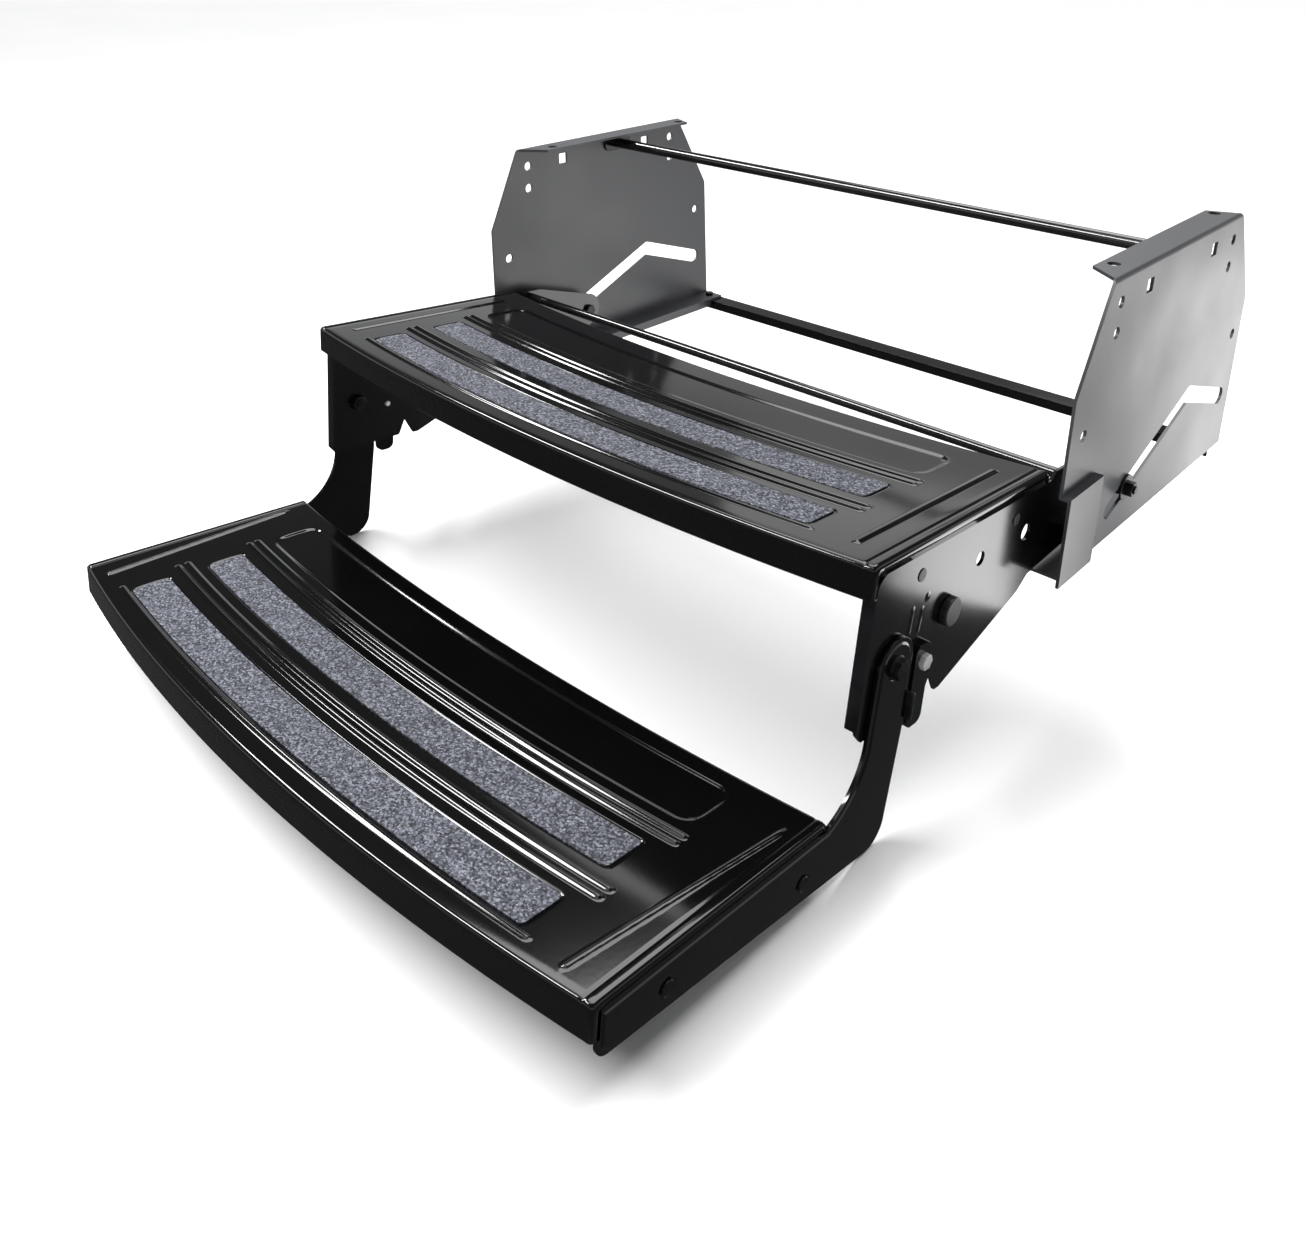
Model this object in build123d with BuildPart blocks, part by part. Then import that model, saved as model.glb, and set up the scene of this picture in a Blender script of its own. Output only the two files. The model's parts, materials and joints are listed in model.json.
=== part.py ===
"""Double pull-out entry step: a two-plate housing, a sliding upper step and a fold-over lower step.

Origin: centre of the four flange bolts, on the top face of the mounting flanges.
+X to the right seen from the door, +Y under the vehicle, +Z up, millimetres.
"""
import os
from math import atan2, cos, degrees, hypot, radians, sin

from build123d import *

os.makedirs("parts", exist_ok=True)

# ---- housing ----
plate_x = 375.0  # outer face of each housing plate
sheet = 3.0  # thickness of every load-bearing plate
plate_inner_x = plate_x - sheet
flange_inner_x = 343.0  # inner edge of the top and bottom flanges
plate_bottom_z = -269.0
plate_front_y = -200.0
plate_rear_y = 200.0
plate_outline = [
    (-155, 0),
    (plate_front_y, -94),
    (plate_front_y, plate_bottom_z),
    (plate_rear_y, plate_bottom_z),
    (191, -98),
    (133, 0),
]
flange_outline = [(plate_x, -155), (flange_inner_x, -131), (flange_inner_x, 120), (plate_x, 133)]
flange_bolt_x = 354.0
flange_bolt_y = 114.0
flange_bolt_hole = 11.5
side_hole = 11.0
side_holes = [(-139, -23), (-139, -50.5), (117, -23), (117, -50.5), (-175.5, -133), (171, -135)]
square_hole = 13.0
square_holes = [(-81, -22), (67, -22)]
bend_radius = 4.0

slot_low = (-92.0, -237.5)  # centre line of the bent guide slot, as (y, z)
slot_crest = (70.0, -172.0)
slot_rear = (169.0, -204.5)
slot_width = 18.0

joggle_rear_y = -136.0  # the lower front corner of each plate is pressed outwards
joggle_top_z = -182.0
joggle_step = 8.0
joggle_depth = joggle_rear_y - plate_front_y
joggle_height = joggle_top_z - plate_bottom_z
bottom_flange_front_y = -188.0
lip_height = 8.0

cross_rod_y = 14.0
cross_rod_z = -16.0
cross_rod_diameter = 12.7
clip_length = 46.0
clip_width = 18.0

bar_front_y = 177.0
bar_depth = 24.0
bar_drop = 12.0
bar_bolt_x = 357.0

pad_y = -125.0
pad_z = -254.5
pad_length = 50.0
pad_height = 20.0
pad_inner_x = 357.2

# ---- step frame: (u, w) run rearwards and upwards from the upper tread's front corner ----
pitch = radians(5.3)  # the unloaded treads stand this much nose up
front_y = -456.0
front_z = -143.6
upper_half_width = 356.0
upper_depth = 271.0
upper_front_bow = 28.0
upper_rear_bow = 31.0
upper_skirt = 28.0
upper_rim = 11.0
arm_outer_x = 355.5
arm_inner_x = arm_outer_x - sheet
arm_front_u = 8.0
arm_foot_u = 6.0
arm_flange = 8.0
tread_sheet = 2.4
tread_flange = 42.0

lower_front_u = -263.0
lower_depth = 239.0
lower_top_w = -199.5
lower_half_width = 359.5
lower_front_bow = 33.0
lower_rear_bow = 21.0
lower_skirt = 31.0
lower_rim = 7.5
leg_inner_x = 356.5
leg_outer_x = leg_inner_x + sheet

grit_half_length = 282.0
grit_width = 37.0
grit_thickness = 1.0
grit_pitch = 76.0
grit_set_back = 27.0

tie_rod_u = 300.0
tie_rod_w = -12.0
tie_rod_diameter = 10.0

# ---- pivots and fasteners ----
hinge_u = 43.0
hinge_w = -96.0
hinge_bolt_diameter = 10.0
hinge_running_gap = 0.05
hinge_boss_radius = 24.0
guide_y = -61.0  # the guide bolt in its slot with the step pulled out
guide_bolt_diameter = 8.0
head_height = 5.0
tread_screw_diameter = 6.0
flat_head_height = 0.7  # thin heads on the arms, because the folded legs pass 1 mm away
small_hex = 10.0
guide_hex = 13.0
upper_screws = [(70, -30), (219, -30)]
lower_screws = [(-196, -231.5), (-50, -238.5)]
stop_u = 82.0
stop_bolt_w = -106.0
stop_bottom_w = -158.0
stop_width = 22.0
stop_thickness = 5.0
bumper_gap = 0.3
leg_front_u = -258.0
leg_rear_u = 67.0
button_u = 118.0
button_w = -77.0
button_diameter = 25.0
button_height = 7.0

slot_slope = (slot_crest[1] - slot_low[1]) / (slot_crest[0] - slot_low[0])
guide_z = slot_low[1] + slot_slope * (guide_y - slot_low[0])


def to_step(y, z):
    """(u, w) of a housing point (y, z)."""
    dy = y - front_y
    dz = z - front_z
    return dy * cos(pitch) - dz * sin(pitch), dy * sin(pitch) + dz * cos(pitch)


def step_side(x):
    """Plane across the step at x, with the sketch axes along u and w."""
    return Plane(origin=(x, front_y, front_z), x_dir=(0, cos(pitch), -sin(pitch)), z_dir=(1, 0, 0))


def step_level(w):
    """Plane parallel to the treads at height w, with the sketch axes along x and u."""
    origin = (0, front_y + w * sin(pitch), front_z + w * cos(pitch))
    return Plane(origin=origin, x_dir=(1, 0, 0), z_dir=(0, sin(pitch), cos(pitch)))


guide_u, guide_w = to_step(guide_y, guide_z)


def save(part, name):
    """Labels a finished piece and writes it."""
    part.label = name
    export_step(part, f"parts/{name}.step")


def save_pair(right, name):
    """Writes the right-hand piece and its mirror image as one node."""
    left = mirror(right, about=Plane.YZ)
    pair = Compound(label=name, children=list(right.solids()) + list(left.solids()))
    export_step(pair, f"parts/{name}.step")


def disc(plane, centre, diameter, length, bore=0.0):
    """A pin or, with a bore, a ring that stands on a plane."""
    with BuildPart() as piece:
        with BuildSketch(plane):
            with Locations(centre):
                Circle(diameter / 2)
                if bore > 0:
                    Circle(bore / 2, mode=Mode.SUBTRACT)
        extrude(amount=length)
    return piece.part


def hexagon(plane, centre, across_flats, length, bore=0.0):
    """A hexagonal head or nut that stands on a plane."""
    with BuildPart() as piece:
        with BuildSketch(plane):
            with Locations(centre):
                RegularPolygon(radius=across_flats / 2, side_count=6, major_radius=False)
                if bore > 0:
                    Circle(bore / 2, mode=Mode.SUBTRACT)
        extrude(amount=length)
    return piece.part


# ---------------------------------------------------------------- housing plate
slot_legs = [(slot_low, slot_crest), (slot_crest, slot_rear)]
with BuildPart() as housing_plate:
    with BuildSketch(Plane.YZ.offset(plate_inner_x)):
        Polygon(*plate_outline, align=None)
        with Locations((plate_front_y, plate_bottom_z)):
            Rectangle(joggle_depth, joggle_height, align=(Align.MIN, Align.MIN), mode=Mode.SUBTRACT)
        with Locations(*side_holes):
            Circle(side_hole / 2, mode=Mode.SUBTRACT)
        with Locations(*square_holes):
            Rectangle(square_hole, square_hole, mode=Mode.SUBTRACT)
        for start, end in slot_legs:
            run = hypot(end[0] - start[0], end[1] - start[1])
            turn = degrees(atan2(end[1] - start[1], end[0] - start[0]))
            with Locations(((start[0] + end[0]) / 2, (start[1] + end[1]) / 2)):
                SlotCenterToCenter(run, slot_width, rotation=turn, mode=Mode.SUBTRACT)
    extrude(amount=sheet)
    # the pressed-out corner: its face, its rear wall and its top wall
    with BuildSketch(Plane.YZ.offset(plate_inner_x + joggle_step)):
        with Locations((plate_front_y, plate_bottom_z)):
            Rectangle(joggle_depth, joggle_height, align=(Align.MIN, Align.MIN))
    extrude(amount=sheet)
    with BuildSketch(Plane.YZ.offset(plate_inner_x)):
        with Locations((joggle_rear_y, joggle_top_z)):
            Rectangle(sheet, joggle_height, align=(Align.MAX, Align.MAX))
            Rectangle(joggle_depth, sheet, align=(Align.MAX, Align.MAX))
    extrude(amount=joggle_step + sheet)
    with BuildSketch(Plane.XY.offset(-sheet)):
        Polygon(*flange_outline, align=None)
        with Locations((flange_bolt_x, -flange_bolt_y), (flange_bolt_x, flange_bolt_y)):
            Circle(flange_bolt_hole / 2, mode=Mode.SUBTRACT)
    extrude(amount=sheet)
    with BuildSketch(Plane.XY.offset(plate_bottom_z)):
        Polygon(
            (flange_inner_x, bottom_flange_front_y),
            (plate_x + joggle_step, bottom_flange_front_y),
            (plate_x + joggle_step, joggle_rear_y),
            (plate_x, joggle_rear_y),
            (plate_x, plate_rear_y),
            (flange_inner_x, plate_rear_y),
            align=None,
        )
        with Locations((bar_bolt_x, bar_front_y + bar_depth / 2)):
            Circle(tread_screw_diameter / 2, mode=Mode.SUBTRACT)
    extrude(amount=sheet)
    with BuildSketch(Plane.XY.offset(plate_bottom_z)):
        with Locations((flange_inner_x + sheet / 2, (bottom_flange_front_y + bar_front_y) / 2)):
            Rectangle(sheet, bar_front_y - bottom_flange_front_y)
    extrude(amount=-lip_height)
    with BuildSketch(Plane.YZ.offset(pad_inner_x)):
        with Locations((pad_y, pad_z)):
            Circle(tread_screw_diameter / 2)
    extrude(amount=plate_x + joggle_step - pad_inner_x + sheet, mode=Mode.SUBTRACT)
    top_bend = housing_plate.edges().filter_by(Axis.Y).group_by(Axis.Z)[-1].sort_by(Axis.X)[-1]
    fillet(top_bend, radius=bend_radius)
save(housing_plate.part, "housing_plate_right")
save(mirror(housing_plate.part, about=Plane.YZ), "housing_plate_left")

# ---------------------------------------------------------------- cross members of the housing
with BuildPart() as upper_cross_rod:
    with BuildSketch(Plane.YZ.offset(-(plate_inner_x - sheet))):
        with Locations((cross_rod_y, cross_rod_z)):
            Circle(cross_rod_diameter / 2)
    extrude(amount=2 * (plate_inner_x - sheet))
save(upper_cross_rod.part, "upper_cross_rod")

with BuildPart() as rod_clip:
    with BuildSketch(Plane.YZ.offset(plate_inner_x - sheet)):
        with Locations((cross_rod_y, cross_rod_z)):
            SlotOverall(clip_length, clip_width)
    extrude(amount=sheet)
save(rod_clip.part, "rod_clip_right")
save(mirror(rod_clip.part, about=Plane.YZ), "rod_clip_left")

with BuildPart() as rear_cross_bar:
    with BuildSketch(Plane.YZ.offset(-plate_inner_x)):
        Polygon(
            (bar_front_y, plate_bottom_z),
            (bar_front_y, plate_bottom_z - bar_drop),
            (bar_front_y + sheet, plate_bottom_z - bar_drop),
            (bar_front_y + sheet, plate_bottom_z - sheet),
            (bar_front_y + bar_depth, plate_bottom_z - sheet),
            (bar_front_y + bar_depth, plate_bottom_z),
            align=None,
        )
    extrude(amount=2 * plate_inner_x)
    with Locations(*[(x, bar_front_y + bar_depth / 2, plate_bottom_z) for x in (-bar_bolt_x, bar_bolt_x)]):
        Hole(tread_screw_diameter / 2)
save(rear_cross_bar.part, "rear_cross_bar")

bar_bolt_centre = (bar_bolt_x, bar_front_y + bar_depth / 2)
bolt_end_z = plate_bottom_z - sheet - head_height - 1
bolt_length = plate_bottom_z + sheet - bolt_end_z
with BuildPart() as cross_bar_bolt:
    add(hexagon(Plane.XY.offset(plate_bottom_z + sheet), bar_bolt_centre, small_hex, 4))
    add(disc(Plane.XY.offset(bolt_end_z), bar_bolt_centre, tread_screw_diameter, bolt_length))
save_pair(cross_bar_bolt.part, "cross_bar_bolts")
nut_plane = Plane.XY.offset(plate_bottom_z - sheet - head_height)
save_pair(hexagon(nut_plane, bar_bolt_centre, small_hex, head_height, tread_screw_diameter), "cross_bar_nuts")

# ---------------------------------------------------------------- side guide pads
with BuildPart() as guide_pad:
    with BuildSketch(Plane.YZ.offset(pad_inner_x)):
        with Locations((pad_y, pad_z)):
            RectangleRounded(pad_length, pad_height, 3)
            Circle(tread_screw_diameter / 2, mode=Mode.SUBTRACT)
        with Locations((joggle_rear_y, pad_z)):
            Rectangle(pad_length, 2 * pad_height, align=(Align.MAX, Align.CENTER), mode=Mode.SUBTRACT)
    extrude(amount=plate_inner_x - pad_inner_x)
save_pair(guide_pad.part, "guide_pads")

with BuildPart() as pad_screw:
    add(disc(Plane.YZ.offset(plate_x), (pad_y, pad_z), 11, 3))
    add(disc(Plane.YZ.offset(pad_inner_x), (pad_y, pad_z), tread_screw_diameter, plate_x - pad_inner_x))
save_pair(pad_screw.part, "pad_screws")

# ---------------------------------------------------------------- upper step side arms
with BuildPart() as upper_arm:
    with BuildSketch(step_side(arm_inner_x)):
        with BuildLine():
            RadiusArc((arm_front_u, -26), (arm_front_u + 15, -upper_rim), 16)
            Polyline((arm_front_u + 15, -upper_rim), (278, -upper_rim), (286, -4), (314, -4), (guide_u + 6, -24))
            ThreePointArc((guide_u + 6, -24), (guide_u + 19, guide_w), (guide_u + 6, guide_w - 19))
            Polyline((guide_u + 6, guide_w - 19), (guide_u - 20, -80), (262, -95), (246, -107), (126, -151))
            Polyline((126, -151), (119, -151), (107, -131), (99, -149), (arm_foot_u + 8, -151))
            Polyline((arm_foot_u + 8, -151), (arm_foot_u, -142), (arm_front_u, -26))
        make_face()
        with Locations((164, -48)):
            Circle(6.5, mode=Mode.SUBTRACT)
        with Locations((243, -49)):
            Circle(8, mode=Mode.SUBTRACT)
        with Locations((guide_u, guide_w)):
            Circle(guide_bolt_diameter / 2, mode=Mode.SUBTRACT)
        with Locations((tie_rod_u, tie_rod_w)):
            Circle(tie_rod_diameter / 2, mode=Mode.SUBTRACT)
        with Locations((hinge_u, hinge_w)):
            Circle(hinge_bolt_diameter / 2, mode=Mode.SUBTRACT)
        with Locations(*upper_screws, (stop_u, stop_bolt_w), (button_u, button_w)):
            Circle(tread_screw_diameter / 2, mode=Mode.SUBTRACT)
    extrude(amount=sheet)
    # flange along the front edge
    with BuildSketch(step_side(arm_inner_x - arm_flange)):
        Polygon(
            (arm_front_u, -28),
            (arm_foot_u, -140),
            (arm_foot_u + sheet, -140),
            (arm_front_u + sheet, -28),
            align=None,
        )
    extrude(amount=arm_flange)
save(upper_arm.part, "upper_arm_right")
save(mirror(upper_arm.part, about=Plane.YZ), "upper_arm_left")


def tread_outline(half_width, front_u, depth, front_bow, rear_bow):
    """The edges of a tread's outline: straight sides, front and rear edges bowed forwards."""
    with BuildLine() as outline:
        ThreePointArc((-half_width, front_u), (0, front_u - front_bow), (half_width, front_u))
        Line((half_width, front_u), (half_width, front_u + depth))
        rear_u = front_u + depth
        ThreePointArc((half_width, rear_u), (0, rear_u - rear_bow), (-half_width, rear_u))
        Line((-half_width, rear_u), (-half_width, front_u))
    return outline.edges()


def pressed_tread(half_width, front_u, depth, front_bow, rear_bow, top_w, skirt, rim, flange_x, screws):
    """A tread pressing: top, deep front skirt, low rim and an inner flange down each side."""
    with BuildPart() as tread:
        with BuildSketch(step_level(top_w)):
            make_face(tread_outline(half_width, front_u, depth, front_bow, rear_bow))
        extrude(amount=-skirt)
        inner_half_width = half_width - tread_sheet
        inner_front_u = front_u + tread_sheet
        inner_depth = depth - 2 * tread_sheet
        with BuildSketch(step_level(top_w - tread_sheet)):
            make_face(tread_outline(inner_half_width, inner_front_u, inner_depth, front_bow, rear_bow))
        extrude(amount=-skirt, mode=Mode.SUBTRACT)
        with BuildSketch(step_level(top_w - rim)):
            with Locations((0, front_u + tread_sheet + depth)):
                Rectangle(2 * half_width + 10, 2 * depth)
        extrude(amount=-skirt, mode=Mode.SUBTRACT)
        with BuildSketch(step_side(flange_x - tread_sheet)):
            with Locations((front_u + depth / 2, top_w - tread_flange / 2)):
                Rectangle(depth - 60, tread_flange)
            with Locations(*screws):
                Circle(tread_screw_diameter / 2, mode=Mode.SUBTRACT)
        extrude(amount=tread_sheet)
        with BuildSketch(step_side(-flange_x)):
            with Locations((front_u + depth / 2, top_w - tread_flange / 2)):
                Rectangle(depth - 60, tread_flange)
            with Locations(*screws):
                Circle(tread_screw_diameter / 2, mode=Mode.SUBTRACT)
        extrude(amount=tread_sheet)
    return tread.part


def grit_strip(front_u, half_length, bow, top_w):
    """A curved strip of grit tape on a tread."""
    with BuildPart() as strip:
        with BuildSketch(step_level(top_w)):
            with BuildLine():
                ThreePointArc((-half_length, front_u), (0, front_u - bow), (half_length, front_u))
                Line((half_length, front_u), (half_length, front_u + grit_width))
                rear_u = front_u + grit_width
                ThreePointArc((half_length, rear_u), (0, rear_u - bow), (-half_length, rear_u))
                Line((-half_length, rear_u), (-half_length, front_u))
            make_face()
        extrude(amount=grit_thickness)
    return strip.part


upper_tread = pressed_tread(
    upper_half_width,
    0,
    upper_depth,
    upper_front_bow,
    upper_rear_bow,
    0,
    upper_skirt,
    upper_rim,
    arm_inner_x,
    upper_screws,
)
save(upper_tread, "upper_tread")
upper_grit_bow = 34.0
upper_grit_u = grit_set_back - upper_front_bow + upper_grit_bow
save(grit_strip(upper_grit_u, grit_half_length, upper_grit_bow, 0), "upper_grit_front")
save(grit_strip(upper_grit_u + grit_pitch, grit_half_length, upper_grit_bow, 0), "upper_grit_rear")

with BuildPart() as tread_tie_rod:
    with BuildSketch(step_side(-arm_outer_x)):
        with Locations((tie_rod_u, tie_rod_w)):
            Circle(tie_rod_diameter / 2)
    extrude(amount=2 * arm_outer_x)
save(tread_tie_rod.part, "tread_tie_rod")

# ---------------------------------------------------------------- guide bolts that run in the slots
guide_centre = (guide_u, guide_w)
washer_x = plate_x + 0.4
nut_x = washer_x + 2.0
with BuildPart() as guide_bolt:
    add(hexagon(step_side(arm_inner_x - head_height), guide_centre, guide_hex, head_height))
    add(disc(step_side(arm_inner_x), guide_centre, guide_bolt_diameter, nut_x + 9 - arm_inner_x))
save_pair(guide_bolt.part, "guide_bolts")
spacer_length = plate_inner_x - 0.5 - arm_outer_x
save_pair(disc(step_side(arm_outer_x), guide_centre, 17, spacer_length, guide_bolt_diameter), "guide_spacers")
save_pair(disc(step_side(washer_x), guide_centre, 26, 2.0, guide_bolt_diameter), "guide_washers")
save_pair(hexagon(step_side(nut_x), guide_centre, guide_hex, 7, guide_bolt_diameter), "guide_nuts")

# ---------------------------------------------------------------- hinge of the lower step
hinge_centre = (hinge_u, hinge_w)
hinge_head_x = leg_outer_x + 0.5
with BuildPart() as hinge_bolt:
    add(disc(step_side(hinge_head_x), hinge_centre, 20, 1.5))
    add(hexagon(step_side(hinge_head_x + 1.5), hinge_centre, 15, head_height))
    add(disc(step_side(arm_inner_x - 8), hinge_centre, hinge_bolt_diameter, hinge_head_x - arm_inner_x + 8))
save_pair(hinge_bolt.part, "hinge_bolts")
save_pair(disc(step_side(arm_outer_x), hinge_centre, 26, 0.7, hinge_bolt_diameter), "hinge_washers")
save_pair(hexagon(step_side(arm_inner_x - 7), hinge_centre, 16, 7, hinge_bolt_diameter), "hinge_nuts")

# ---------------------------------------------------------------- stops for the lower step
with BuildPart() as stop_bracket:
    with BuildSketch(step_side(arm_outer_x)):
        with Locations((stop_u, (stop_bolt_w + stop_bottom_w) / 2 + 4)):
            RectangleRounded(stop_width, stop_bolt_w - stop_bottom_w + 22, 8)
        with Locations((stop_u, stop_bolt_w)):
            Circle(tread_screw_diameter / 2, mode=Mode.SUBTRACT)
    extrude(amount=stop_thickness)
save_pair(stop_bracket.part, "stop_brackets")
bumper_front_u = leg_rear_u + bumper_gap
bumper_rear_u = stop_u - stop_width / 2
with BuildPart() as stop_bumper:
    with BuildSketch(step_side(arm_outer_x + 0.5)):
        with Locations(((bumper_front_u + bumper_rear_u) / 2, -140)):
            Rectangle(bumper_rear_u - bumper_front_u, 24)
    extrude(amount=9)
save_pair(stop_bumper.part, "stop_bumpers")
with BuildPart() as stop_bolt:
    add(hexagon(step_side(arm_outer_x + stop_thickness), (stop_u, stop_bolt_w), 12, head_height))
    add(disc(step_side(arm_inner_x - 3), (stop_u, stop_bolt_w), tread_screw_diameter, sheet + stop_thickness + 3))
save_pair(stop_bolt.part, "stop_bolts")
with BuildPart() as side_button:
    add(disc(step_side(arm_outer_x), (button_u, button_w), button_diameter, button_height))
    add(disc(step_side(arm_inner_x - 2), (button_u, button_w), tread_screw_diameter, 2 + sheet))
    add(disc(step_side(arm_inner_x - 4), (button_u, button_w), 12, 4))
save_pair(side_button.part, "side_buttons")

with BuildPart() as upper_tread_screw:
    for centre in upper_screws:
        add(disc(step_side(arm_outer_x), centre, 11, flat_head_height))
        add(disc(step_side(arm_inner_x - tread_sheet - 2), centre, tread_screw_diameter, sheet + tread_sheet + 2))
save_pair(upper_tread_screw.part, "upper_tread_screws")

# ---------------------------------------------------------------- lower step
leg_top_w = lower_top_w - lower_rim
with BuildPart() as leg:
    with BuildSketch(step_side(leg_inner_x)):
        with BuildLine():
            front_of_boss = (hinge_u - hinge_boss_radius, hinge_w)
            rear_of_boss = (leg_rear_u, hinge_w)
            ThreePointArc(front_of_boss, (hinge_u, hinge_w + hinge_boss_radius), rear_of_boss)
            Polyline(rear_of_boss, (leg_rear_u, -157), (59, -240))
            ThreePointArc((59, -240), (52, -256), (32, -262))
            Polyline((32, -262), (leg_front_u + 12, -248))
            ThreePointArc((leg_front_u + 12, -248), (leg_front_u + 3, -244), (leg_front_u, -236))
            Polyline((leg_front_u, -236), (leg_front_u, leg_top_w), (-23, leg_top_w))
            ThreePointArc((-23, leg_top_w), (5, -185), (16, -156))
            Polyline((16, -156), front_of_boss)
        make_face()
        with Locations(hinge_centre):
            Circle(hinge_bolt_diameter / 2 + hinge_running_gap, mode=Mode.SUBTRACT)
        with Locations(*lower_screws):
            Circle(tread_screw_diameter / 2, mode=Mode.SUBTRACT)
    extrude(amount=sheet)
save(leg.part, "leg_right")
save(mirror(leg.part, about=Plane.YZ), "leg_left")

lower_tread = pressed_tread(
    lower_half_width,
    lower_front_u,
    lower_depth,
    lower_front_bow,
    lower_rear_bow,
    lower_top_w,
    lower_skirt,
    lower_rim,
    leg_inner_x,
    lower_screws,
)
save(lower_tread, "lower_tread")
lower_grit_bow = 27.0
lower_grit_u = lower_front_u + grit_set_back - lower_front_bow + lower_grit_bow
save(grit_strip(lower_grit_u, grit_half_length, lower_grit_bow, lower_top_w), "lower_grit_front")
save(grit_strip(lower_grit_u + grit_pitch, grit_half_length, lower_grit_bow, lower_top_w), "lower_grit_rear")

with BuildPart() as lower_tread_screw:
    for centre in lower_screws:
        add(disc(step_side(leg_outer_x), centre, 12, 2.5))
        add(disc(step_side(leg_inner_x - tread_sheet - 2), centre, tread_screw_diameter, sheet + tread_sheet + 2))
save_pair(lower_tread_screw.part, "lower_tread_screws")
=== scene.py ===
import json
from math import cos, hypot, pi, radians, sin, sqrt
from random import Random

import bmesh
import bpy
from mathutils import Matrix, Vector


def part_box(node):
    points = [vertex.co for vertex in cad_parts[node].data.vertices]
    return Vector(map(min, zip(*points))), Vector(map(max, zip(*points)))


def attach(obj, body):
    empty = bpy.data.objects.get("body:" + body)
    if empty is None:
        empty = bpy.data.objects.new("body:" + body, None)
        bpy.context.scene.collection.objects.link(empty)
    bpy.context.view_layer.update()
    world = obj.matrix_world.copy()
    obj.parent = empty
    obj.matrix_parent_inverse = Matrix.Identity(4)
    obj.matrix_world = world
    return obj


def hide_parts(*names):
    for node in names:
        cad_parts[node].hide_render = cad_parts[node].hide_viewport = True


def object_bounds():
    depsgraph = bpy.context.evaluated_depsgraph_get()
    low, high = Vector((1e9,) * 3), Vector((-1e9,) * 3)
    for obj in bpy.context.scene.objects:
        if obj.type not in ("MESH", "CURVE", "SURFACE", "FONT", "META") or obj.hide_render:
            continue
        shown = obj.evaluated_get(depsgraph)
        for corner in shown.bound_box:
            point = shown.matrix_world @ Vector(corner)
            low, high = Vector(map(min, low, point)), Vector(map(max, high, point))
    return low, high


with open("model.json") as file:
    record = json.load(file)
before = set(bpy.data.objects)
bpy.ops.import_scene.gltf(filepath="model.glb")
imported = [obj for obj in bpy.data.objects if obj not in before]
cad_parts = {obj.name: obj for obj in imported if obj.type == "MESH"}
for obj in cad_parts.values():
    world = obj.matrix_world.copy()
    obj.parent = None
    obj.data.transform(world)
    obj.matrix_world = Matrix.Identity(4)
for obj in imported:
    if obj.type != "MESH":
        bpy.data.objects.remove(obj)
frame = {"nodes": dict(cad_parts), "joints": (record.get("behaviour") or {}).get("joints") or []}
cadLow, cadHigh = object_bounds()
scene = bpy.context.scene
mm = 0.001
joints = {joint["name"]: joint for joint in frame["joints"]}
print("frame loaded")


# camera
camera = dict(place=(0.7300, -1.0720, 0.2940), azimuth=43.66, elevation=22.70, roll=-0.10,
              focal=1176.0, frameWidth=1306, sensor=36.0, shift=-0.184)
a, e = radians(camera["azimuth"]), radians(camera["elevation"])
lens = bpy.data.cameras.new("stepCamera")
lens.sensor_width = camera["sensor"]
lens.lens = camera["focal"] / camera["frameWidth"] * camera["sensor"]
lens.shift_y = camera["shift"]
eye = bpy.data.objects.new("stepCamera", lens)
scene.collection.objects.link(eye)
lookBack = Vector((sin(a) * cos(e), -cos(a) * cos(e), sin(e)))
turn = (-lookBack).to_track_quat("-Z", "Y").to_matrix().to_4x4()
turn = turn @ Matrix.Rotation(radians(camera["roll"]), 4, "Z")
eye.matrix_world = Matrix.Translation(Vector(camera["place"])) @ turn
scene.camera = eye
print("camera placed")


# small helpers for colours and shader nodes
def linear(hexColour):
    parts = [int(hexColour[i:i + 2], 16) / 255 for i in (1, 3, 5)]
    return tuple(c / 12.92 if c <= 0.04045 else ((c + 0.055) / 1.055) ** 2.4 for c in parts) + (1.0,)


def node(tree, kind, links=None, **settings):
    made = tree.nodes.new(kind)
    for key, value in settings.items():
        if key.startswith("in_"):
            made.inputs[key[3:].replace("_", " ")].default_value = value
        elif key == "stops":  # a colour ramp's places and hex colours
            elements = made.color_ramp.elements
            while len(elements) < len(value):
                elements.new(0.5)
            for element, (place, colour) in zip(elements, value):
                element.position = place
                element.color = linear(colour)
        else:
            setattr(made, key, value)
    for socket, source in (links or {}).items():
        tree.links.new(source, made.inputs[socket])
    return made


# light: a pale studio with soft boxes; powers in watts, glows in watts per square metre and steradian
studio = dict(keyPower=10, rearPower=3.0, linePower=125, armGlow=4.0, plateGlow=2.3, leftPlateGlow=1.3,
              armReach=0.35, plateReach=0.6, leftPlateReach=1.0, margin=0.10, wideMargin=0.12,
              sun=3.0, sunAngle=50, sunTilt=(-25, -8), groundGlow=0.10)


def lightPanel(name, size, power, place):
    panel = bpy.data.lights.new(name, "AREA")
    panel.shape = "RECTANGLE"
    panel.size, panel.size_y = size
    panel.energy = power
    holder = bpy.data.objects.new(name, panel)
    scene.collection.objects.link(holder)
    holder.matrix_world = place
    holder.visible_camera = False


def softBox(name, azimuth, elevation, distance, size, power):
    b, h = radians(azimuth), radians(elevation)
    away = Vector((sin(b) * cos(h), -cos(b) * cos(h), sin(h)))
    facing = (-away).to_track_quat("-Z", "Y").to_matrix().to_4x4()
    lightPanel(name, size, power, Matrix.Translation((cadLow + cadHigh) / 2 + away * distance) @ facing)


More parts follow.
